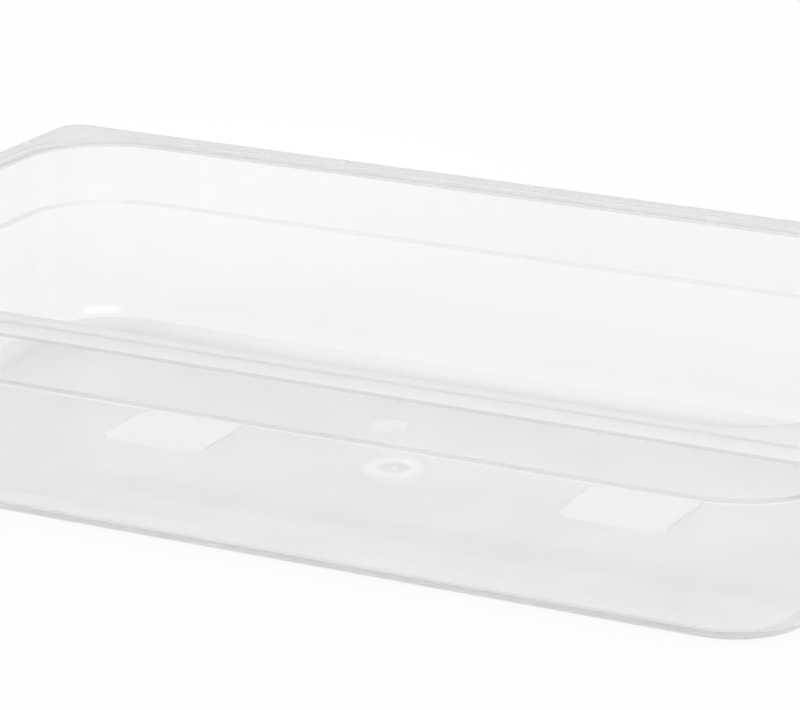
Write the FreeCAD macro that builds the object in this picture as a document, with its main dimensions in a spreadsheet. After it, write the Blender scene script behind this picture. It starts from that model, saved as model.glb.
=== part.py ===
import FreeCAD, Part
import os
import Sketcher
from math import acos, atan2, cos, degrees, hypot, radians, sin

# Full-size gastronorm food pan moulded in one piece: a rim with a down-turned
# skirt, a drafted body with a nesting shoulder, a rounded base and a flat floor.
# The pan stands on z = 0, centred on the origin, long side along X.

SIZES = {
    # overall
    "pan_length": 530.0,
    "pan_width": 325.0,
    "pan_height": 100.0,
    # rim
    "rim_corner_radius": 12.0,
    "long_side_rim": 14.0,
    "short_side_rim": 11.5,
    "rim_thickness": 2.2,
    "rim_edge_radius": 1.0,
    "skirt_foot_radius": 0.6,
    "skirt_height": 7.6,
    "skirt_thickness": 2.0,
    "band_width": 8.2,
    "band_height": 0.4,
    "band_corner_extra": 8.0,
    # opening and wall
    "opening_corner_radius": 48.0,
    "opening_edge_radius": 2.2,
    "wall_thickness": 2.5,
    "root_radius": 1.5,
    "upper_lean": 0.5,
    "shoulder_depth": 32.1,
    "shoulder_step": 0.8,
    "shoulder_rise": 2.0,
    "shoulder_lag": 0.6,
    "lower_lean": 4.7,
    # base and floor
    "base_radius": 16.0,
    "floor_thickness": 2.5,
    "floor_strip": 12.0,
    # marks in the underside of the floor
    "marks_right": 2.0,
    "panel_length": 54.0,
    "panel_width": 50.0,
    "panel_corner_radius": 8.0,
    "panel_offset": 117.5,
    "panel_recess": 0.4,
    "gate_ring_diameter": 29.5,
    "gate_boss_diameter": 14.5,
    "gate_recess": 0.5,
    "stamp_diameter": 20.0,
    "stamp_left": 29.5,
    "stamp_back": 55.0,
    "stamp_recess": 0.4,
}

doc = FreeCAD.newDocument("food_pan")
sheet = doc.addObject("Spreadsheet::Sheet", "Sizes")
for row, (alias, value) in enumerate(SIZES.items(), start=1):
    sheet.set("A%d" % row, alias)
    sheet.set("B%d" % row, str(value))
    sheet.setAlias("B%d" % row, alias)
doc.recompute()


def sized(expression):
    """The expression with each size name pointed at the sheet."""
    words = expression.split(" ")
    return " ".join("Sizes." + word if word in SIZES else word for word in words)


def value_of(expression):
    """The number an expression of size names, numbers and + - * / comes to."""
    total = 0.0
    sign = 1.0
    term = None
    operator = None
    for word in expression.split(" ") + ["+"]:
        if word in ("+", "-") and operator is None:
            total += sign * (term or 0.0)
            sign = 1.0 if word == "+" else -1.0
            term = None
        elif word in ("*", "/"):
            operator = word
        else:
            number = SIZES[word] if word in SIZES else float(word)
            if operator == "*":
                number = term * number
            elif operator == "/":
                number = term / number
            term = number
            operator = None
    return total


body = doc.addObject("PartDesign::Body", "pan")
body.Label = "Food pan"
doc.recompute()


def origin_plane(role):
    """The plane of the body's own origin with this role."""
    return next(item for item in body.Origin.OriginFeatures if item.Role == role)


def new_sketch(name, role, height="0", along="0", across="0"):
    """An empty sketch on an origin plane, moved by three bound distances."""
    sketch = body.newObject("Sketcher::SketchObject", name)
    sketch.AttachmentSupport = [(origin_plane(role), "")]
    sketch.MapMode = "FlatFace"
    moves = {"x": along, "y": across, "z": height}
    for axis, expression in moves.items():
        sketch.setExpression("AttachmentOffset.Base." + axis, sized(expression))
    return sketch


def bind(sketch, kind, targets, name, expression):
    """A named constraint that takes its value from the sheet."""
    index = sketch.addConstraint(Sketcher.Constraint(kind, *targets, value_of(expression)))
    sketch.renameConstraint(index, name)
    sketch.setExpression("Constraints." + name, sized(expression))


def add_line(sketch, start, end):
    first = FreeCAD.Vector(start[0], start[1], 0)
    last = FreeCAD.Vector(end[0], end[1], 0)
    return sketch.addGeometry(Part.LineSegment(first, last), False)


def add_arc(sketch, centre, radius, start, end):
    """An arc running anticlockwise between two angles in degrees."""
    circle = Part.Circle(FreeCAD.Vector(centre[0], centre[1], 0), FreeCAD.Vector(0, 0, 1), radius)
    return sketch.addGeometry(Part.ArcOfCircle(circle, radians(start), radians(end)), False)


def rounded_outline(sketch, name, half_length, half_width, radius):
    """A rounded rectangle about the sketch origin, from the middle of its far side on."""
    x = value_of(half_length)
    y = value_of(half_width)
    r = value_of(radius)
    far_half = add_line(sketch, (0, y), (x - r, y))
    corners = []
    sides = []
    turns = [
        ((x - r, y - r), (0, 90), (x, y - r), (x, r - y)),
        ((x - r, r - y), (270, 360), (x - r, -y), (r - x, -y)),
        ((r - x, r - y), (180, 270), (-x, r - y), (-x, y - r)),
        ((r - x, y - r), (90, 180), (r - x, y), (0, y)),
    ]
    for centre, angles, start, end in turns:
        corners.append(add_arc(sketch, centre, r, angles[0], angles[1]))
        sides.append(add_line(sketch, start, end))
    before = [far_half] + sides[:3]
    for previous, corner, side in zip(before, corners, sides):
        sketch.addConstraint(Sketcher.Constraint("Tangent", previous, 2, corner, 2))
        sketch.addConstraint(Sketcher.Constraint("Tangent", corner, 1, side, 1))
    sketch.addConstraint(Sketcher.Constraint("Coincident", sides[3], 2, far_half, 1))
    sketch.addConstraint(Sketcher.Constraint("PointOnObject", far_half, 1, -2))
    for side in (far_half, sides[1], sides[3]):
        sketch.addConstraint(Sketcher.Constraint("Horizontal", side))
    for side in (sides[0], sides[2]):
        sketch.addConstraint(Sketcher.Constraint("Vertical", side))
    for corner in corners[1:]:
        sketch.addConstraint(Sketcher.Constraint("Equal", corners[0], corner))
    bind(sketch, "Radius", (corners[0],), name + "_radius", radius)
    bind(sketch, "DistanceX", (-1, 1, sides[0], 1), name + "_right", half_length)
    bind(sketch, "DistanceX", (sides[2], 1, -1, 1), name + "_left", half_length)
    bind(sketch, "DistanceY", (-1, 1, far_half, 1), name + "_far", half_width)
    bind(sketch, "DistanceY", (sides[1], 1, -1, 1), name + "_near", half_width)


def add_circle(sketch, name, radius):
    """A circle about the sketch origin."""
    circle = Part.Circle(FreeCAD.Vector(0, 0, 0), FreeCAD.Vector(0, 0, 1), value_of(radius))
    index = sketch.addGeometry(circle, False)
    sketch.addConstraint(Sketcher.Constraint("Coincident", index, 3, -1, 1))
    bind(sketch, "Radius", (index,), name + "_radius", radius)


def add_pad(sketch, name, length):
    pad = body.newObject("PartDesign::Pad", name)
    pad.Profile = sketch
    pad.setExpression("Length", sized(length))
    doc.recompute()
    return pad


def add_pocket(sketch, name, depth):
    """A pocket cut upwards into the underside of the floor."""
    before = body.Shape.Volume
    pocket = body.newObject("PartDesign::Pocket", name)
    pocket.Profile = sketch
    pocket.Reversed = True
    pocket.setExpression("Length", sized(depth))
    doc.recompute()
    if body.Shape.Volume >= before:
        raise RuntimeError(name + " cuts nothing")
    return pocket


# Path of the wall: the outline of the inner face of the wall at the rim.
path = new_sketch("WallPath", "XY_Plane")
rounded_outline(
    path, "path",
    "pan_length / 2 - short_side_rim",
    "pan_width / 2 - long_side_rim",
    "opening_corner_radius",
)

# Section of the wall on the far side, distances from the middle of the pan
# outwards (first) and from the table up (second).
WALL_INSIDE = "pan_width / 2 - long_side_rim"
WALL_OUTSIDE = "pan_width / 2 - long_side_rim + wall_thickness"
SECTION = {
    "strip_foot": (WALL_INSIDE + " - base_radius - floor_strip", "0"),
    "strip_head": (WALL_INSIDE + " - base_radius - floor_strip", "floor_thickness"),
    "shoulder_foot_out": (
        WALL_OUTSIDE + " - upper_lean - shoulder_step",
        "pan_height - shoulder_depth - shoulder_lag - shoulder_rise",
    ),
    "shoulder_head_out": (
        WALL_OUTSIDE + " - upper_lean",
        "pan_height - shoulder_depth - shoulder_lag",
    ),
    "rim_tongue_foot": (
        WALL_OUTSIDE + " + root_radius + 2",
        "pan_height - band_height - rim_thickness",
    ),
    "rim_tongue_head": (
        WALL_OUTSIDE + " + root_radius + 2",
        "pan_height - band_height",
    ),
    "shoulder_head_in": (
        WALL_INSIDE + " - upper_lean",
        "pan_height - shoulder_depth",
    ),
    "shoulder_foot_in": (
        WALL_INSIDE + " - upper_lean - shoulder_step",
        "pan_height - shoulder_depth - shoulder_rise",
    ),
}
at = {name: (value_of(out), value_of(up)) for name, (out, up) in SECTION.items()}
wall = SIZES["wall_thickness"]
floor = SIZES["floor_thickness"]
base = SIZES["base_radius"]
base_inside = base - wall
root = SIZES["root_radius"]
edge = SIZES["opening_edge_radius"]
BASE_CENTRE = WALL_OUTSIDE + " - upper_lean - shoulder_step - lower_lean - base_radius"


def touch_angle(centre, radius, point):
    """Angle on the arc, in degrees, where the wall falling from the point touches it."""
    across = point[0] - centre[0]
    up = point[1] - centre[1]
    return degrees(atan2(up, across) - acos(radius / hypot(across, up)))


def on_arc(centre, radius, angle):
    return (centre[0] + radius * cos(radians(angle)), centre[1] + radius * sin(radians(angle)))


outer_base = (value_of(BASE_CENTRE), base)
draft = touch_angle(outer_base, base, at["shoulder_foot_out"])
inner_base = (outer_base[0], floor + base_inside)
root_centre = (value_of(WALL_OUTSIDE) + root, at["rim_tongue_foot"][1] - root)
edge_centre = (value_of(WALL_INSIDE) + edge, at["rim_tongue_head"][1] - edge)

section = new_sketch("WallSection", "YZ_Plane")
foot = add_line(section, at["strip_foot"], (outer_base[0], 0))
outer_arc = add_arc(section, outer_base, base, 270, 360 + draft)
outer_lower = add_line(section, on_arc(outer_base, base, draft), at["shoulder_foot_out"])
outer_step = add_line(section, at["shoulder_foot_out"], at["shoulder_head_out"])
outer_upper = add_line(section, at["shoulder_head_out"], on_arc(root_centre, root, 180))
root_arc = add_arc(section, root_centre, root, 90, 180)
tongue_foot = add_line(section, on_arc(root_centre, root, 90), at["rim_tongue_foot"])
tongue_end = add_line(section, at["rim_tongue_foot"], at["rim_tongue_head"])
tongue_head = add_line(section, at["rim_tongue_head"], on_arc(edge_centre, edge, 90))
edge_arc = add_arc(section, edge_centre, edge, 90, 180)
inner_upper = add_line(section, on_arc(edge_centre, edge, 180), at["shoulder_head_in"])
inner_step = add_line(section, at["shoulder_head_in"], at["shoulder_foot_in"])
inner_lower = add_line(section, at["shoulder_foot_in"], on_arc(inner_base, base_inside, draft))
inner_arc = add_arc(section, inner_base, base_inside, 270, 360 + draft)
floor_top = add_line(section, (inner_base[0], floor), at["strip_head"])
strip_end = add_line(section, at["strip_head"], at["strip_foot"])

for first, first_end, second, second_end in (
    (foot, 2, outer_arc, 1),
    (outer_arc, 2, outer_lower, 1),
    (outer_upper, 2, root_arc, 2),
    (root_arc, 1, tongue_foot, 1),
    (tongue_head, 2, edge_arc, 1),
    (edge_arc, 2, inner_upper, 1),
    (inner_lower, 2, inner_arc, 2),
    (inner_arc, 1, floor_top, 1),
):
    section.addConstraint(Sketcher.Constraint("Tangent", first, first_end, second, second_end))
for first, second in (
    (outer_lower, outer_step),
    (outer_step, outer_upper),
    (tongue_foot, tongue_end),
    (tongue_end, tongue_head),
    (inner_upper, inner_step),
    (inner_step, inner_lower),
    (floor_top, strip_end),
    (strip_end, foot),
):
    section.addConstraint(Sketcher.Constraint("Coincident", first, 2, second, 1))
for line in (foot, tongue_foot, tongue_head, floor_top):
    section.addConstraint(Sketcher.Constraint("Horizontal", line))
section.addConstraint(Sketcher.Constraint("Parallel", inner_lower, outer_lower))
section.addConstraint(Sketcher.Constraint("Parallel", inner_upper, outer_upper))
for name, line in (
    ("strip_head", strip_end),
    ("shoulder_foot_out", outer_step),
    ("shoulder_head_out", outer_upper),
    ("rim_tongue_foot", tongue_end),
    ("rim_tongue_head", tongue_head),
    ("shoulder_head_in", inner_step),
    ("shoulder_foot_in", inner_lower),
):
    bind(section, "DistanceX", (-1, 1, line, 1), name + "_across", SECTION[name][0])
    bind(section, "DistanceY", (-1, 1, line, 1), name + "_up", SECTION[name][1])
section.addConstraint(Sketcher.Constraint("Vertical", strip_end))
section.addConstraint(Sketcher.Constraint("PointOnObject", foot, 1, -1))
bind(section, "Radius", (outer_arc,), "outer_base_radius", "base_radius")
bind(section, "Radius", (inner_arc,), "inner_base_radius", "base_radius - wall_thickness")
bind(section, "Radius", (root_arc,), "rim_root_radius", "root_radius")
bind(section, "Radius", (edge_arc,), "opening_edge", "opening_edge_radius")
bind(section, "DistanceX", (-1, 1, outer_arc, 3), "base_centre", BASE_CENTRE)
bind(section, "DistanceX", (-1, 1, inner_upper, 1), "wall_head_in", WALL_INSIDE)
doc.recompute()

wall_ring = body.newObject("PartDesign::AdditivePipe", "WallRing")
wall_ring.Profile = section
wall_ring.Spine = (path, [])
doc.recompute()

# Floor, overlapping the strip that the wall section carries at its foot.
FLOOR_EDGE = "base_radius - floor_strip + 3"
floor_outline = new_sketch("FloorOutline", "XY_Plane")
rounded_outline(
    floor_outline, "floor",
    "pan_length / 2 - short_side_rim - " + FLOOR_EDGE,
    "pan_width / 2 - long_side_rim - " + FLOOR_EDGE,
    "opening_corner_radius - " + FLOOR_EDGE,
)
add_pad(floor_outline, "Floor", "floor_thickness")

# Rim plate, overlapping the tongue at the head of the wall section.
TONGUE_CLEAR = "wall_thickness + root_radius + 0.5"
rim_outline = new_sketch("RimOutline", "XY_Plane", "pan_height - band_height - rim_thickness")
rounded_outline(rim_outline, "rim", "pan_length / 2", "pan_width / 2", "rim_corner_radius")
rounded_outline(
    rim_outline, "gap",
    "pan_length / 2 - short_side_rim + " + TONGUE_CLEAR,
    "pan_width / 2 - long_side_rim + " + TONGUE_CLEAR,
    "opening_corner_radius + " + TONGUE_CLEAR,
)
add_pad(rim_outline, "RimPlate", "rim_thickness")

# Raised band round the outside of the rim; the lid seat is the ledge inside it.
band_outline = new_sketch("BandOutline", "XY_Plane", "pan_height - band_height")
rounded_outline(band_outline, "rim", "pan_length / 2", "pan_width / 2", "rim_corner_radius")
rounded_outline(
    band_outline, "seat",
    "pan_length / 2 - band_width",
    "pan_width / 2 - band_width",
    "opening_corner_radius + band_corner_extra",
)
add_pad(band_outline, "RaisedBand", "band_height")

# Skirt turned down round the rim.
skirt_outline = new_sketch("SkirtOutline", "XY_Plane", "pan_height - skirt_height")
rounded_outline(skirt_outline, "rim", "pan_length / 2", "pan_width / 2", "rim_corner_radius")
rounded_outline(
    skirt_outline, "skirt",
    "pan_length / 2 - skirt_thickness",
    "pan_width / 2 - skirt_thickness",
    "rim_corner_radius - skirt_thickness",
)
add_pad(skirt_outline, "Skirt", "skirt_height - band_height - rim_thickness / 2")


def rim_edges(level):
    """Names of the edges of the outer outline that lie at this level."""
    names = []
    for number, item in enumerate(body.Shape.Edges, start=1):
        on_outline = all(
            abs(abs(vertex.X) - SIZES["pan_length"] / 2) < 0.01
            or abs(abs(vertex.Y) - SIZES["pan_width"] / 2) < 0.01
            for vertex in item.Vertexes
        )
        level_with = all(abs(vertex.Z - level) < 0.01 for vertex in item.Vertexes)
        if on_outline and level_with:
            names.append("Edge%d" % number)
    return names


def add_fillet(name, level, radius):
    below = body.Tip
    edges = rim_edges(level)
    fillet = body.newObject("PartDesign::Fillet", name)
    fillet.Base = (below, edges)
    fillet.setExpression("Radius", sized(radius))
    doc.recompute()
    return fillet


add_fillet("RimRounding", value_of("pan_height"), "rim_edge_radius")
add_fillet("SkirtRounding", value_of("pan_height - skirt_height"), "skirt_foot_radius")

# Two plain polished panels recessed in the underside of the floor.
for name, side in (("LeftPanel", "-"), ("RightPanel", "+")):
    panel = new_sketch(name + "Outline", "XY_Plane", along="marks_right " + side + " panel_offset")
    rounded_outline(panel, "panel", "panel_length / 2", "panel_width / 2", "panel_corner_radius")
    add_pocket(panel, name, "panel_recess")

# Ring sunk round the moulding gate in the middle of the underside.
gate = new_sketch("GateOutline", "XY_Plane", along="marks_right")
add_circle(gate, "ring", "gate_ring_diameter / 2")
add_circle(gate, "boss", "gate_boss_diameter / 2")
add_pocket(gate, "GateRing", "gate_recess")

# Plain round insert mark.
stamp = new_sketch("StampOutline", "XY_Plane", along="marks_right - stamp_left", across="stamp_back")
add_circle(stamp, "stamp", "stamp_diameter / 2")
add_pocket(stamp, "Stamp", "stamp_recess")

for item in doc.Objects:
    if "Invalid" in item.State or "Error" in item.State:
        raise RuntimeError(item.Name + " is in error")
    if item.isDerivedFrom("PartDesign::Feature") or item.isDerivedFrom("PartDesign::Body"):
        if item.Shape.isNull() or not item.Shape.isValid():
            raise RuntimeError(item.Name + " has no valid shape")
    if item.isDerivedFrom("Sketcher::SketchObject") and not item.FullyConstrained:
        raise RuntimeError(item.Name + " is not fully constrained")
if len(body.Shape.Solids) != 1:
    raise RuntimeError("the pan is not one solid")

os.makedirs("parts", exist_ok=True)
body.Shape.exportStep("parts/pan.step")
print("pan", round(body.Shape.Volume), "mm3", body.Shape.optimalBoundingBox())
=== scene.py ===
import bpy
import bmesh
from math import acos, atan2, cos, hypot, pi, radians, sin
from mathutils import Matrix, Vector


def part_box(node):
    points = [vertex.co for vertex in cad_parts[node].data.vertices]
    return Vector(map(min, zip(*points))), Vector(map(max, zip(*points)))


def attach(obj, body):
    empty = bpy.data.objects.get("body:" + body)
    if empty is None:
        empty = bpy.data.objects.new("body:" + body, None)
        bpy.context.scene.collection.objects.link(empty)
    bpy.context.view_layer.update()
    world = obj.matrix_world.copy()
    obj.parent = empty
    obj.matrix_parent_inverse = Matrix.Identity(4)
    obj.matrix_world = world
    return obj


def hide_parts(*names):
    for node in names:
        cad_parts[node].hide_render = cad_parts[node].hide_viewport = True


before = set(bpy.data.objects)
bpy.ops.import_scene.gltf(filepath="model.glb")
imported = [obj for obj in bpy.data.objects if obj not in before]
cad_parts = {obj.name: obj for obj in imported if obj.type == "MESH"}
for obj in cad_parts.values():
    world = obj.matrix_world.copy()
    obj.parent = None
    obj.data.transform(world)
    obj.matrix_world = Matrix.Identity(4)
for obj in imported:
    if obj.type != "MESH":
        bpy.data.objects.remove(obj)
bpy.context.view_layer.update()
scene = bpy.context.scene
MM = 0.001

# ---------------------------------------------------------------- sizes, mm
LOW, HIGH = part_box("pan")
LENGTH, WIDTH, HEIGHT = [round(size / MM, 3) for size in HIGH - LOW]
RIM_CORNER = 12.0
LONG_RIM, SHORT_RIM = 14.0, 11.5
OPENING_CORNER = 48.0
WALL = 2.5
BAND_WIDTH, BAND_HEIGHT, BAND_CORNER = 8.2, 0.4, 56.0
RIM_THICKNESS = 2.2
SKIRT_HEIGHT, SKIRT_THICKNESS = 7.6, 2.0
EDGE_RADIUS, FOOT_RADIUS, OPENING_EDGE, ROOT = 1.0, 0.6, 2.2, 1.5
UPPER_LEAN, LOWER_LEAN = 0.5, 4.7
SHOULDER_DEPTH, SHOULDER_STEP, SHOULDER_RISE, SHOULDER_LAG = 32.1, 0.8, 2.0, 0.6
BASE_RADIUS = 16.0
MARKS_RIGHT = 2.0
PANEL_LENGTH, PANEL_WIDTH, PANEL_CORNER, PANEL_OFFSET, PANEL_RECESS = 54.0, 50.0, 8.0, 117.5, 0.4
GATE_RING, GATE_BOSS, GATE_RECESS = 29.5, 14.5, 0.5
GATE_PIN, GATE_PIN_DRAFT, GATE_DRAFT, MARK_DRAFT = 4.0, 0.4, 0.3, 0.2
STAMP, STAMP_LEFT, STAMP_BACK, STAMP_RECESS = 20.0, 29.5, 55.0, 0.4

# small rounds of the section
SHOULDER_ROUND = 0.3
SKIRT_ROOT, SKIRT_INNER_FOOT = 0.8, 0.3
SEAT_ROUND = 0.16
# how far the inner base round's centre lies inward of the outer one's, as the wall leans
BASE_SHIFT = 0.045

# where one zone gives way to the next, each with its own finishes and some with painted shade: heights,
# and angles on the base round in degrees
LIP_DEPTH = 1.6
FOOT_BAND = 1.6
EDGE_ANGLE, CURVE_ANGLE = -62, -40

# levels, and the distance of the wall's two faces from the middle
INSIDE = WIDTH / 2 - LONG_RIM
OUTSIDE = INSIDE + WALL
LEDGE = HEIGHT - BAND_HEIGHT
UNDER = LEDGE - RIM_THICKNESS
SKIRT_FOOT = HEIGHT - SKIRT_HEIGHT

WALL_ZONE, STEP_ZONE, RIM_ZONE, EDGE_ZONE, FOOT_ZONE, LIP_ZONE, BASE_ZONE, CURVE_ZONE = range(8)
HOLLOW_ZONE, MATT_ZONE, POLISHED_ZONE, DISC_ZONE, GATE_ZONE = range(8, 13)

ARC_STEPS = 28
LONG_STEPS = 24
SHORT_STEPS = 14

CORNERS = ((1, 1), (-1, 1), (-1, -1), (1, -1))
SIDES = ((0, 1), (-1, 0), (0, -1), (1, 0))


# ------------------------------------------------------------ outlines
def outline(half_x, half_y, radius):
    """Points and outward directions round a rounded rectangle, anticlockwise."""
    points = []
    for turn, ((sx, sy), side) in enumerate(zip(CORNERS, SIDES)):
        cx, cy = sx * (half_x - radius), sy * (half_y - radius)
        for step in range(ARC_STEPS + 1):
            angle = turn * pi / 2 + step / ARC_STEPS * pi / 2
            out = (cos(angle), sin(angle))
            points.append((cx + radius * out[0], cy + radius * out[1], out))
        end = points[-1]
        after_x, after_y = CORNERS[(turn + 1) % 4]
        target_x = after_x * (half_x - radius) + side[0] * radius
        target_y = after_y * (half_y - radius) + side[1] * radius
        steps = LONG_STEPS if turn % 2 == 0 else SHORT_STEPS
        for step in range(1, steps):
            share = step / steps
            x = end[0] + (target_x - end[0]) * share
            y = end[1] + (target_y - end[1]) * share
            points.append((x, y, side))
    return points


def body_ring(across, up, lean, zone):
    """A ring of the wall: across is the distance of the far side from the middle."""
    inset = WIDTH / 2 - across
    short = inset - LONG_RIM + SHORT_RIM
    radius = OPENING_CORNER - (inset - LONG_RIM)
    return (LENGTH / 2 - short, across, radius, up, lean, zone)


def rim_ring(inset, up, lean, zone=RIM_ZONE, radius=None):
    """A ring of the rim: inset is the distance inward from the rim's outer edge."""
    corner = RIM_CORNER - inset if radius is None else radius
    return (LENGTH / 2 - inset, WIDTH / 2 - inset, corner, up, lean, zone)


def arc(centre, radius, start, end, steps, hollow=False):
    """Points of a section arc with their outward directions."""
    sign = -1 if hollow else 1
    found = []
    for step in range(steps + 1):
        angle = radians(start + (end - start) * step / steps)
        way = (cos(angle), sin(angle))
        place = (centre[0] + radius * way[0], centre[1] + radius * way[1])
        found.append((place, (sign * way[0], sign * way[1])))
    return found


def eased(before, corner, after, radius, steps=3):
    """A small round at a corner of the section, with its outward directions."""
    a = Vector((before[0] - corner[0], before[1] - corner[1])).normalized()
    b = Vector((after[0] - corner[0], after[1] - corner[1])).normalized()
    half = acos(max(-1, min(1, a.dot(b)))) / 2
    reach = radius / (sin(half) / cos(half))
    middle = (a + b).normalized() * (radius / sin(half))
    centre = Vector(corner) + middle
    first = Vector(corner) + a * reach - centre
    last = Vector(corner) + b * reach - centre
    start = atan2(first.y, first.x)
    sweep = atan2(last.y, last.x) - start
    if sweep > pi:
        sweep -= 2 * pi
    if sweep < -pi:
        sweep += 2 * pi
    travel = Vector((corner[0] - before[0], corner[1] - before[1]))
    outward = Vector((travel.y, -travel.x)).normalized()
    sign = 1 if first.normalized().dot(outward) > 0 else -1
    found = []
    for step in range(steps + 1):
        angle = start + sweep * step / steps
        way = (cos(angle), sin(angle))
        place = (centre.x + radius * way[0], centre.y + radius * way[1])
        found.append((place, (sign * way[0], sign * way[1])))
    return found


def rim_rings(section, zone=RIM_ZONE, corner=None):
    """Rings of the rim for a stretch of section, given by inset and height."""
    rings = []
    for (inset, up), way in section:
        radius = None if corner is None else corner - inset
        rings.append(rim_ring(inset, up, (-way[0], way[1]), zone, radius))
    return rings


def zoned(section, zone):
    """The points of a section with the zone of the faces that lead up to them, which sets their finishes
    and, in some zones, painted shade.
    """
    return [(place, way, zone) for place, way in section]


def touch_angle(centre, radius, point):
    """The angle in degrees at which a line from the point touches the round."""
    across, up = point[0] - centre[0], point[1] - centre[1]
    return (atan2(up, across) - acos(radius / hypot(across, up))) * 180 / pi


BASE = (OUTSIDE - UPPER_LEAN - SHOULDER_STEP - LOWER_LEAN - BASE_RADIUS, BASE_RADIUS)
BASE_IN = (BASE[0] - BASE_SHIFT, BASE_RADIUS)
FOOT_OUT = (OUTSIDE - UPPER_LEAN - SHOULDER_STEP, HEIGHT - SHOULDER_DEPTH - SHOULDER_LAG - SHOULDER_RISE)
SLOPE = touch_angle(BASE, BASE_RADIUS, FOOT_OUT)


def outside_rings():
    """The outer face of the wall, from the edge of the underside up to the rim."""
    head = (FOOT_OUT[0] + SHOULDER_STEP, FOOT_OUT[1] + SHOULDER_RISE)
    wall_top = (OUTSIDE, UNDER - ROOT)
    # painted shade: the lowest part of the base round and the band above it carry the greys that paint
    # the bottom edge's dark band
    section = zoned(arc(BASE, BASE_RADIUS, -90, EDGE_ANGLE, 7), BASE_ZONE)
    section += zoned(arc(BASE, BASE_RADIUS, EDGE_ANGLE, CURVE_ANGLE, 5)[1:], CURVE_ZONE)
    section += zoned(arc(BASE, BASE_RADIUS, CURVE_ANGLE, SLOPE, 7)[1:], WALL_ZONE)
    lower_end = section[-1][0]
    shoulder = eased(lower_end, FOOT_OUT, head, SHOULDER_ROUND)
    shoulder += eased(FOOT_OUT, head, wall_top, SHOULDER_ROUND)
    section += zoned(shoulder[:1], WALL_ZONE) + zoned(shoulder[1:], STEP_ZONE)
    root = arc((OUTSIDE + ROOT, UNDER - ROOT), ROOT, 180, 90, 5, hollow=True)
    section += zoned(root[:1], WALL_ZONE) + zoned(root[1:], RIM_ZONE)
    return [body_ring(place[0], place[1], way, zone) for place, way, zone in section]


def skirt_and_band_rings():
    """The skirt's inner face, its foot and outer face, and the raised band."""
    hollow = SKIRT_THICKNESS + SKIRT_ROOT
    inner_foot = (SKIRT_THICKNESS - SKIRT_INNER_FOOT, SKIRT_FOOT + SKIRT_INNER_FOOT)
    outer_foot = (FOOT_RADIUS, SKIRT_FOOT + FOOT_RADIUS)
    edge = (EDGE_RADIUS, HEIGHT - EDGE_RADIUS)
    band_end = (BAND_WIDTH - SEAT_ROUND, HEIGHT - SEAT_ROUND)
    seat = (BAND_WIDTH + SEAT_ROUND, LEDGE + SEAT_ROUND)
    band_corner = BAND_CORNER + BAND_WIDTH

    rings = rim_rings(arc((hollow, UNDER - SKIRT_ROOT), SKIRT_ROOT, 90, 180, 4, hollow=True))
    rings += rim_rings(arc(inner_foot, SKIRT_INNER_FOOT, 0, -90, 3))
    # painted shade: the skirt's foot and a band above it carry the darker grey of the foot line
    rings += rim_rings(arc(outer_foot, FOOT_RADIUS, -90, -180, 5), FOOT_ZONE)
    rings.append(rim_ring(0, SKIRT_FOOT + FOOT_BAND, (1, 0), FOOT_ZONE))
    rings.append(rim_ring(0, HEIGHT - EDGE_RADIUS, (1, 0)))
    # painted shade: the outer top rounding carries the dark grey of the rim's edge line
    rings += rim_rings(arc(edge, EDGE_RADIUS, 180, 90, 7)[1:], EDGE_ZONE)
    rings += rim_rings(arc(band_end, SEAT_ROUND, 90, 20, 3), corner=band_corner)
    rings += rim_rings(arc(seat, SEAT_ROUND, 200, 270, 3, hollow=True), corner=band_corner)
    return rings


def inside_rings():
    """The opening's edge and the inner face of the wall, down to the floor."""
    wall_top = (INSIDE, LEDGE - OPENING_EDGE)
    head = (INSIDE - UPPER_LEAN, HEIGHT - SHOULDER_DEPTH)
    foot = (head[0] - SHOULDER_STEP, head[1] - SHOULDER_RISE)
    inner_radius = BASE_RADIUS - WALL
    lower_end = (BASE_IN[0] + inner_radius, BASE_RADIUS)

    edge = arc((INSIDE + OPENING_EDGE, LEDGE - OPENING_EDGE), OPENING_EDGE, 90, 180, 10)
    section = zoned(edge, RIM_ZONE)
    shoulder = eased(wall_top, head, foot, SHOULDER_ROUND)
    shoulder += eased(head, foot, lower_end, SHOULDER_ROUND)
    share = LIP_DEPTH / (wall_top[1] - head[1])
    lip = (INSIDE - UPPER_LEAN * share, wall_top[1] - LIP_DEPTH)
    # painted shade: the lip band carries the grey of the rim's inner edge line
    section.append((lip, shoulder[0][1], LIP_ZONE))
    section += zoned(shoulder[:1], WALL_ZONE) + zoned(shoulder[1:], STEP_ZONE)
    section += zoned(arc(BASE_IN, inner_radius, SLOPE, CURVE_ANGLE, 6, hollow=True), WALL_ZONE)
    section += zoned(arc(BASE_IN, inner_radius, CURVE_ANGLE, -90, 10, hollow=True)[1:], HOLLOW_ZONE)
    return [body_ring(place[0], place[1], way, zone) for place, way, zone in section]


def wall_rings():
    """Every ring of the pan from the edge of the underside round to the floor."""
    return outside_rings() + skirt_and_band_rings() + inside_rings()


# ------------------------------------------------------------ the mesh
class Shell:
    """Vertices, faces, their materials and the direction of every face corner."""

    def __init__(self):
        self.places = []
        self.faces = []
        self.materials = []
        self.ways = []

    def ring(self, points):
        """Adds a ring of points and gives their numbers."""
        first = len(self.places)
        self.places += points
        return list(range(first, first + len(points)))

    def face(self, corners, material, ways=None):
        """Adds a face; without ways it is shaded flat."""
        self.faces.append(corners)
        self.materials.append(material)
        self.ways.append(ways)

    def band(self, low, high, material, low_ways=None, high_ways=None):
        """Adds the faces between two rings of as many points."""
        count = len(low)
        for index in range(count):
            after = (index + 1) % count
            ways = None
            if low_ways is not None:
                ways = [low_ways[index], low_ways[after], high_ways[after], high_ways[index]]
            self.face([low[index], low[after], high[after], high[index]], material, ways)


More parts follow.
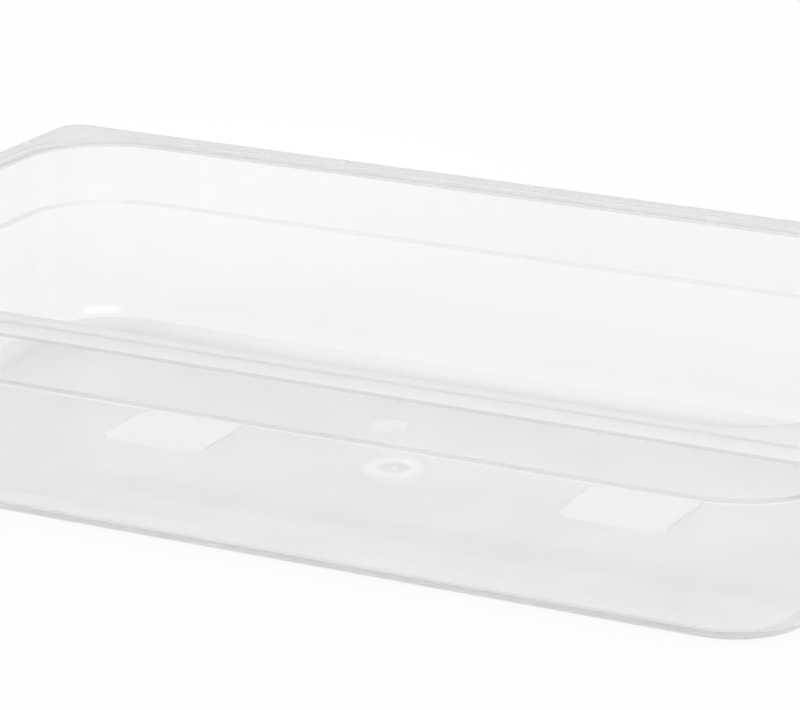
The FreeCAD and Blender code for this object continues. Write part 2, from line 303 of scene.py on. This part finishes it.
def flat_outline(half_x, half_y, radius, centre, steps=8):
    """A rounded rectangle about a centre, anticlockwise."""
    points = []
    for turn, (sx, sy) in enumerate(CORNERS):
        cx, cy = centre[0] + sx * (half_x - radius), centre[1] + sy * (half_y - radius)
        for step in range(steps + 1):
            angle = (turn + step / steps) * pi / 2
            points.append((cx + radius * cos(angle), cy + radius * sin(angle)))
    return points


def circle(radius, centre, steps=72):
    """A circle about a centre, anticlockwise."""
    points = []
    for step in range(steps):
        angle = 2 * pi * step / steps
        points.append((centre[0] + radius * cos(angle), centre[1] + radius * sin(angle)))
    return points


def fill_between(loops, shell):
    """Triangles inside the first loop and outside the others, and which face up."""
    bm = bmesh.new()
    lookup = []
    edges = []
    for loop in loops:
        made = [bm.verts.new(shell.places[index]) for index in loop]
        lookup += list(zip(made, loop))
        edges += [bm.edges.new((made[i], made[(i + 1) % len(made)])) for i in range(len(made))]
    numbers = {vert: index for vert, index in lookup}
    made = bmesh.ops.triangle_fill(bm, edges=edges, use_beauty=True)
    filled = [item for item in made["geom"] if isinstance(item, bmesh.types.BMFace)]
    faces = [[numbers[vert] for vert in item.verts] for item in filled]
    normal_up = [item.normal.z > 0 for item in filled]
    bm.free()
    return faces, normal_up


def put(shell, points, up):
    """A level ring of points at a height in mm."""
    return shell.ring([(x * MM, y * MM, up * MM) for x, y in points])


def mark(shell, edge, head, recess, zone):
    """A flat-topped recess in the underside; gives the ring that bounds it."""
    low, high = put(shell, edge, 0), put(shell, head, recess)
    shell.band(low, high, zone)
    shell.face(high[::-1], zone)
    return low


def panel(shell, centre):
    half_x, half_y = PANEL_LENGTH / 2, PANEL_WIDTH / 2
    edge = flat_outline(half_x, half_y, PANEL_CORNER, centre)
    head = flat_outline(half_x - MARK_DRAFT, half_y - MARK_DRAFT, PANEL_CORNER - MARK_DRAFT, centre)
    return mark(shell, edge, head, PANEL_RECESS, POLISHED_ZONE)


def disc(shell, centre):
    edge, head = circle(STAMP / 2, centre), circle(STAMP / 2 - MARK_DRAFT, centre)
    return mark(shell, edge, head, STAMP_RECESS, DISC_ZONE)


def gate(shell, centre):
    """The recessed ring round the flat boss, with the gate's small pin mark in it."""
    ring_edge = put(shell, circle(GATE_RING / 2, centre), 0)
    ring_head = put(shell, circle(GATE_RING / 2 - GATE_DRAFT, centre), GATE_RECESS)
    boss_head = put(shell, circle(GATE_BOSS / 2 + GATE_DRAFT, centre), GATE_RECESS)
    boss_foot = put(shell, circle(GATE_BOSS / 2, centre), 0)
    shell.band(ring_edge, ring_head, POLISHED_ZONE)
    shell.band(ring_head, boss_head, POLISHED_ZONE)
    shell.band(boss_head, boss_foot, GATE_ZONE)
    pin_edge = put(shell, circle(GATE_PIN / 2, centre), 0)
    pin_head = put(shell, circle(GATE_PIN / 2 - GATE_PIN_DRAFT, centre), GATE_RECESS)
    shell.band(boss_foot, pin_edge, GATE_ZONE)
    shell.band(pin_edge, pin_head, POLISHED_ZONE)
    shell.face(pin_head[::-1], POLISHED_ZONE)
    return ring_edge


def build_pan():
    """The whole pan as one closed shell: swept rings, the floor and the underside."""
    shell = Shell()
    rings = []
    zones = []
    for half_x, half_y, radius, up, lean, zone in wall_rings():
        points = outline(half_x, half_y, radius)
        places = [(x * MM, y * MM, up * MM) for x, y, out in points]
        ways = [(out[0] * lean[0], out[1] * lean[0], lean[1]) for x, y, out in points]
        rings.append((shell.ring(places), ways))
        zones.append(zone)
    for low, high, zone in zip(rings, rings[1:], zones[1:]):
        shell.band(low[0], high[0], zone, low[1], high[1])

    floor_ring = rings[-1][0]
    shell.face(list(floor_ring), WALL_ZONE, [(0, 0, 1)] * len(floor_ring))

    holes = [panel(shell, (MARKS_RIGHT + side * PANEL_OFFSET, 0)) for side in (-1, 1)]
    holes.append(disc(shell, (MARKS_RIGHT - STAMP_LEFT, STAMP_BACK)))
    holes.append(gate(shell, (MARKS_RIGHT, 0)))
    faces, ups = fill_between([rings[0][0]] + holes, shell)
    for corners, up in zip(faces, ups):
        shell.face(corners[::-1] if up else corners, MATT_ZONE, [(0, 0, -1)] * len(corners))
    return shell


def mesh_from(shell, name):
    """The shell as a mesh, with the shading direction of every face corner."""
    mesh = bpy.data.meshes.new(name)
    mesh.from_pydata(shell.places, [], shell.faces)
    mesh.polygons.foreach_set("material_index", shell.materials)
    mesh.polygons.foreach_set("use_smooth", [True] * len(shell.faces))
    mesh.update()
    ways = []
    for polygon, given in zip(mesh.polygons, shell.ways):
        if given is None:
            ways += [tuple(polygon.normal)] * len(polygon.vertices)
        else:
            ways += given
    mesh.normals_split_custom_set(ways)
    return mesh


# ------------------------------------------------------------ materials
def plastic(name, colour, clear, gloss, grain):
    """Natural polypropylene, part clear and part milky; colour is its grey level, which in several zones
    is lowered below the plastic's own to paint shade.

    gloss gives the least and most roughness, which drift over the surface in soft
    patches; grain is the depth of the fine moulded texture.
    """
    material = bpy.data.materials.new(name)
    material.use_nodes = True
    nodes, links = material.node_tree.nodes, material.node_tree.links
    shader = nodes["Principled BSDF"]
    shader.inputs["Base Color"].default_value = (colour, colour, colour, 1)
    shader.inputs["IOR"].default_value = 1.49
    shader.inputs["Transmission Weight"].default_value = clear
    coords = nodes.new("ShaderNodeTexCoord")
    patches = nodes.new("ShaderNodeTexNoise")
    patches.inputs["Scale"].default_value = 14.0
    patches.inputs["Detail"].default_value = 2.0
    span = nodes.new("ShaderNodeMapRange")
    span.inputs["From Min"].default_value = 0.35
    span.inputs["From Max"].default_value = 0.65
    span.inputs["To Min"].default_value, span.inputs["To Max"].default_value = gloss
    texture = nodes.new("ShaderNodeTexNoise")
    texture.inputs["Scale"].default_value = 420.0
    texture.inputs["Detail"].default_value = 2.0
    bump = nodes.new("ShaderNodeBump")
    bump.inputs["Strength"].default_value = grain
    bump.inputs["Distance"].default_value = 0.0001
    links.new(coords.outputs["Object"], patches.inputs["Vector"])
    links.new(coords.outputs["Object"], texture.inputs["Vector"])
    links.new(patches.outputs["Fac"], span.inputs["Value"])
    links.new(span.outputs["Result"], shader.inputs["Roughness"])
    links.new(texture.outputs["Fac"], bump.inputs["Height"])
    links.new(bump.outputs["Normal"], shader.inputs["Normal"])
    return material


shell = build_pan()
pan = bpy.data.objects.new("pan_shell", mesh_from(shell, "pan_shell"))
scene.collection.objects.link(pan)
# name, grey level, clear share, least and most roughness, depth of texture, in zone order; the darker
# greys of the rim, edge, foot, lip, base edge and base curve are painted shade
FINISHES_AND_PAINTED_SHADE = (
    ("pan_wall", 0.997, 0.9, (0.03, 0.06), 0.1),
    ("pan_step", 0.99, 0.8, (0.16, 0.26), 0.2),
    # painted shade: the rim's grey is lowered to paint the darker tone it takes in the light
    ("pan_rim_painted_shade", 0.95, 0.4, (0.08, 0.14), 0.2),
    # painted shade: the outer top rounding is greyer still to paint the dark line along the rim's edge
    ("pan_edge_painted_shade", 0.85, 0.4, (0.08, 0.14), 0.2),
    # painted shade: the skirt's foot band is darker to paint the dark line at the skirt's bottom
    ("pan_foot_painted_shade", 0.84, 0.45, (0.08, 0.14), 0.2),
    # painted shade: the lip below the opening's edge is greyer to paint the dark line at the rim's inner
    # edge
    ("pan_lip_painted_shade", 0.965, 0.15, (0.06, 0.12), 0.1),
    # painted shade: the base edge and base curve step down in grey to paint the dark band along the
    # bottom edge
    ("pan_base_edge_painted_shade", 0.97, 0.55, (0.15, 0.25), 0.2),
    ("pan_base_curve_painted_shade", 0.98, 0.72, (0.06, 0.12), 0.1),
    ("pan_hollow", 0.995, 0.35, (0.06, 0.12), 0.1),
    ("pan_underside", 0.995, 0.85, (0.12, 0.2), 0.5),
    ("pan_polished", 0.998, 0.94, (0.02, 0.05), 0.0),
    ("pan_disc", 0.99, 0.89, (0.03, 0.06), 0.0),
    ("pan_gate", 0.88, 0.6, (0.1, 0.2), 0.3),
)
for finish_and_shade in FINISHES_AND_PAINTED_SHADE:
    pan.data.materials.append(plastic(*finish_and_shade))
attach(pan, "root")
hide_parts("pan")


# ------------------------------------------------------------ floor and light
def seen_or_through(nodes, links):
    """1 for what the camera sees directly, mirrored or through clear plastic."""
    path = nodes.new("ShaderNodeLightPath")
    first = nodes.new("ShaderNodeMath")
    first.operation = "MAXIMUM"
    second = nodes.new("ShaderNodeMath")
    second.operation = "MAXIMUM"
    links.new(path.outputs["Is Camera Ray"], first.inputs[0])
    links.new(path.outputs["Is Glossy Ray"], first.inputs[1])
    links.new(first.outputs[0], second.inputs[0])
    links.new(path.outputs["Is Transmission Ray"], second.inputs[1])
    return second.outputs[0]


def make_floor():
    """A pale matt floor that is seen as white but keeps a soft shadow."""
    mesh = bpy.data.meshes.new("studio_floor")
    side, drop = 4.0, 0.0003
    places = [(x * side, y * side, -drop) for x, y in ((-1, -1), (1, -1), (1, 1), (-1, 1))]
    mesh.from_pydata(places, [], [(0, 1, 2, 3)])
    floor = bpy.data.objects.new("studio_floor", mesh)
    scene.collection.objects.link(floor)
    material = bpy.data.materials.new("studio_floor")
    material.use_nodes = True
    nodes, links = material.node_tree.nodes, material.node_tree.links
    nodes.remove(nodes["Principled BSDF"])
    paper = nodes.new("ShaderNodeBsdfDiffuse")
    paper.inputs["Color"].default_value = (0.9, 0.9, 0.9, 1)
    glow = nodes.new("ShaderNodeEmission")
    glow.inputs["Strength"].default_value = 1.0
    share = nodes.new("ShaderNodeMath")
    share.operation = "MULTIPLY"
    share.inputs[1].default_value = 0.93
    mix = nodes.new("ShaderNodeMixShader")
    links.new(seen_or_through(nodes, links), share.inputs[0])
    links.new(share.outputs[0], mix.inputs["Fac"])
    links.new(paper.outputs["BSDF"], mix.inputs[1])
    links.new(glow.outputs["Emission"], mix.inputs[2])
    links.new(mix.outputs["Shader"], nodes["Material Output"].inputs["Surface"])
    mesh.materials.append(material)


def make_world():
    """Even light from all round, behind a backdrop that is seen as white."""
    world = bpy.data.worlds.new("studio")
    scene.world = world
    world.use_nodes = True
    nodes, links = world.node_tree.nodes, world.node_tree.links
    light = nodes["Background"]
    light.inputs["Color"].default_value = (1, 1, 1, 1)
    light.inputs["Strength"].default_value = 0.92
    white = nodes.new("ShaderNodeBackground")
    white.inputs["Strength"].default_value = 1.0
    mix = nodes.new("ShaderNodeMixShader")
    links.new(seen_or_through(nodes, links), mix.inputs["Fac"])
    links.new(light.outputs["Background"], mix.inputs[1])
    links.new(white.outputs["Background"], mix.inputs[2])
    links.new(mix.outputs["Shader"], nodes["World Output"].inputs["Surface"])


def area_light(name, place, target, size, power):
    """A soft rectangular lamp that faces the target."""
    lamp = bpy.data.lights.new(name, "AREA")
    lamp.shape = "RECTANGLE"
    lamp.size, lamp.size_y = size
    lamp.energy = power
    item = bpy.data.objects.new(name, lamp)
    item.location = place
    aim = Vector(target) - Vector(place)
    item.rotation_euler = aim.to_track_quat("-Z", "Y").to_euler()
    scene.collection.objects.link(item)


def pool_light(name, place, angle, power):
    """A narrow lamp that looks straight down and fades out softly."""
    lamp = bpy.data.lights.new(name, "SPOT")
    lamp.energy = power
    lamp.spot_size = radians(angle)
    lamp.spot_blend = 1.0
    lamp.shadow_soft_size = 0.08
    item = bpy.data.objects.new(name, lamp)
    item.location = place
    scene.collection.objects.link(item)


make_floor()
make_world()
area_light("soft_top", (-0.6, 0.4, 2.0), (0, 0, 0), (2.4, 2.0), 6)
area_light("soft_key", (1.2, -1.3, 1.0), (0, 0, 0.05), (2.0, 1.6), 11)
pool_light("soft_pool", (-0.3, 0.39, 1.6), 14, 55)

# ------------------------------------------------------------ camera
camera_data = bpy.data.cameras.new("camera")
camera_data.sensor_width = 36.0
camera_data.lens = 177.87
camera = bpy.data.objects.new("camera", camera_data)
right = Vector((0.90321, 0.42885, 0.01738))
forward = Vector((-0.40514, 0.86524, -0.29533))
forward.normalize()
upward = right.cross(forward).normalized()
right = forward.cross(upward)
turn = Matrix((right, upward, -forward)).transposed()
camera.matrix_world = Matrix.Translation((0.74308, -1.5795, 0.59599)) @ turn.to_4x4()
scene.collection.objects.link(camera)
scene.camera = camera
scene.view_settings.view_transform = "Standard"
scene.cycles.max_bounces = 32
scene.cycles.diffuse_bounces = 10
scene.cycles.glossy_bounces = 10
scene.cycles.transmission_bounces = 32
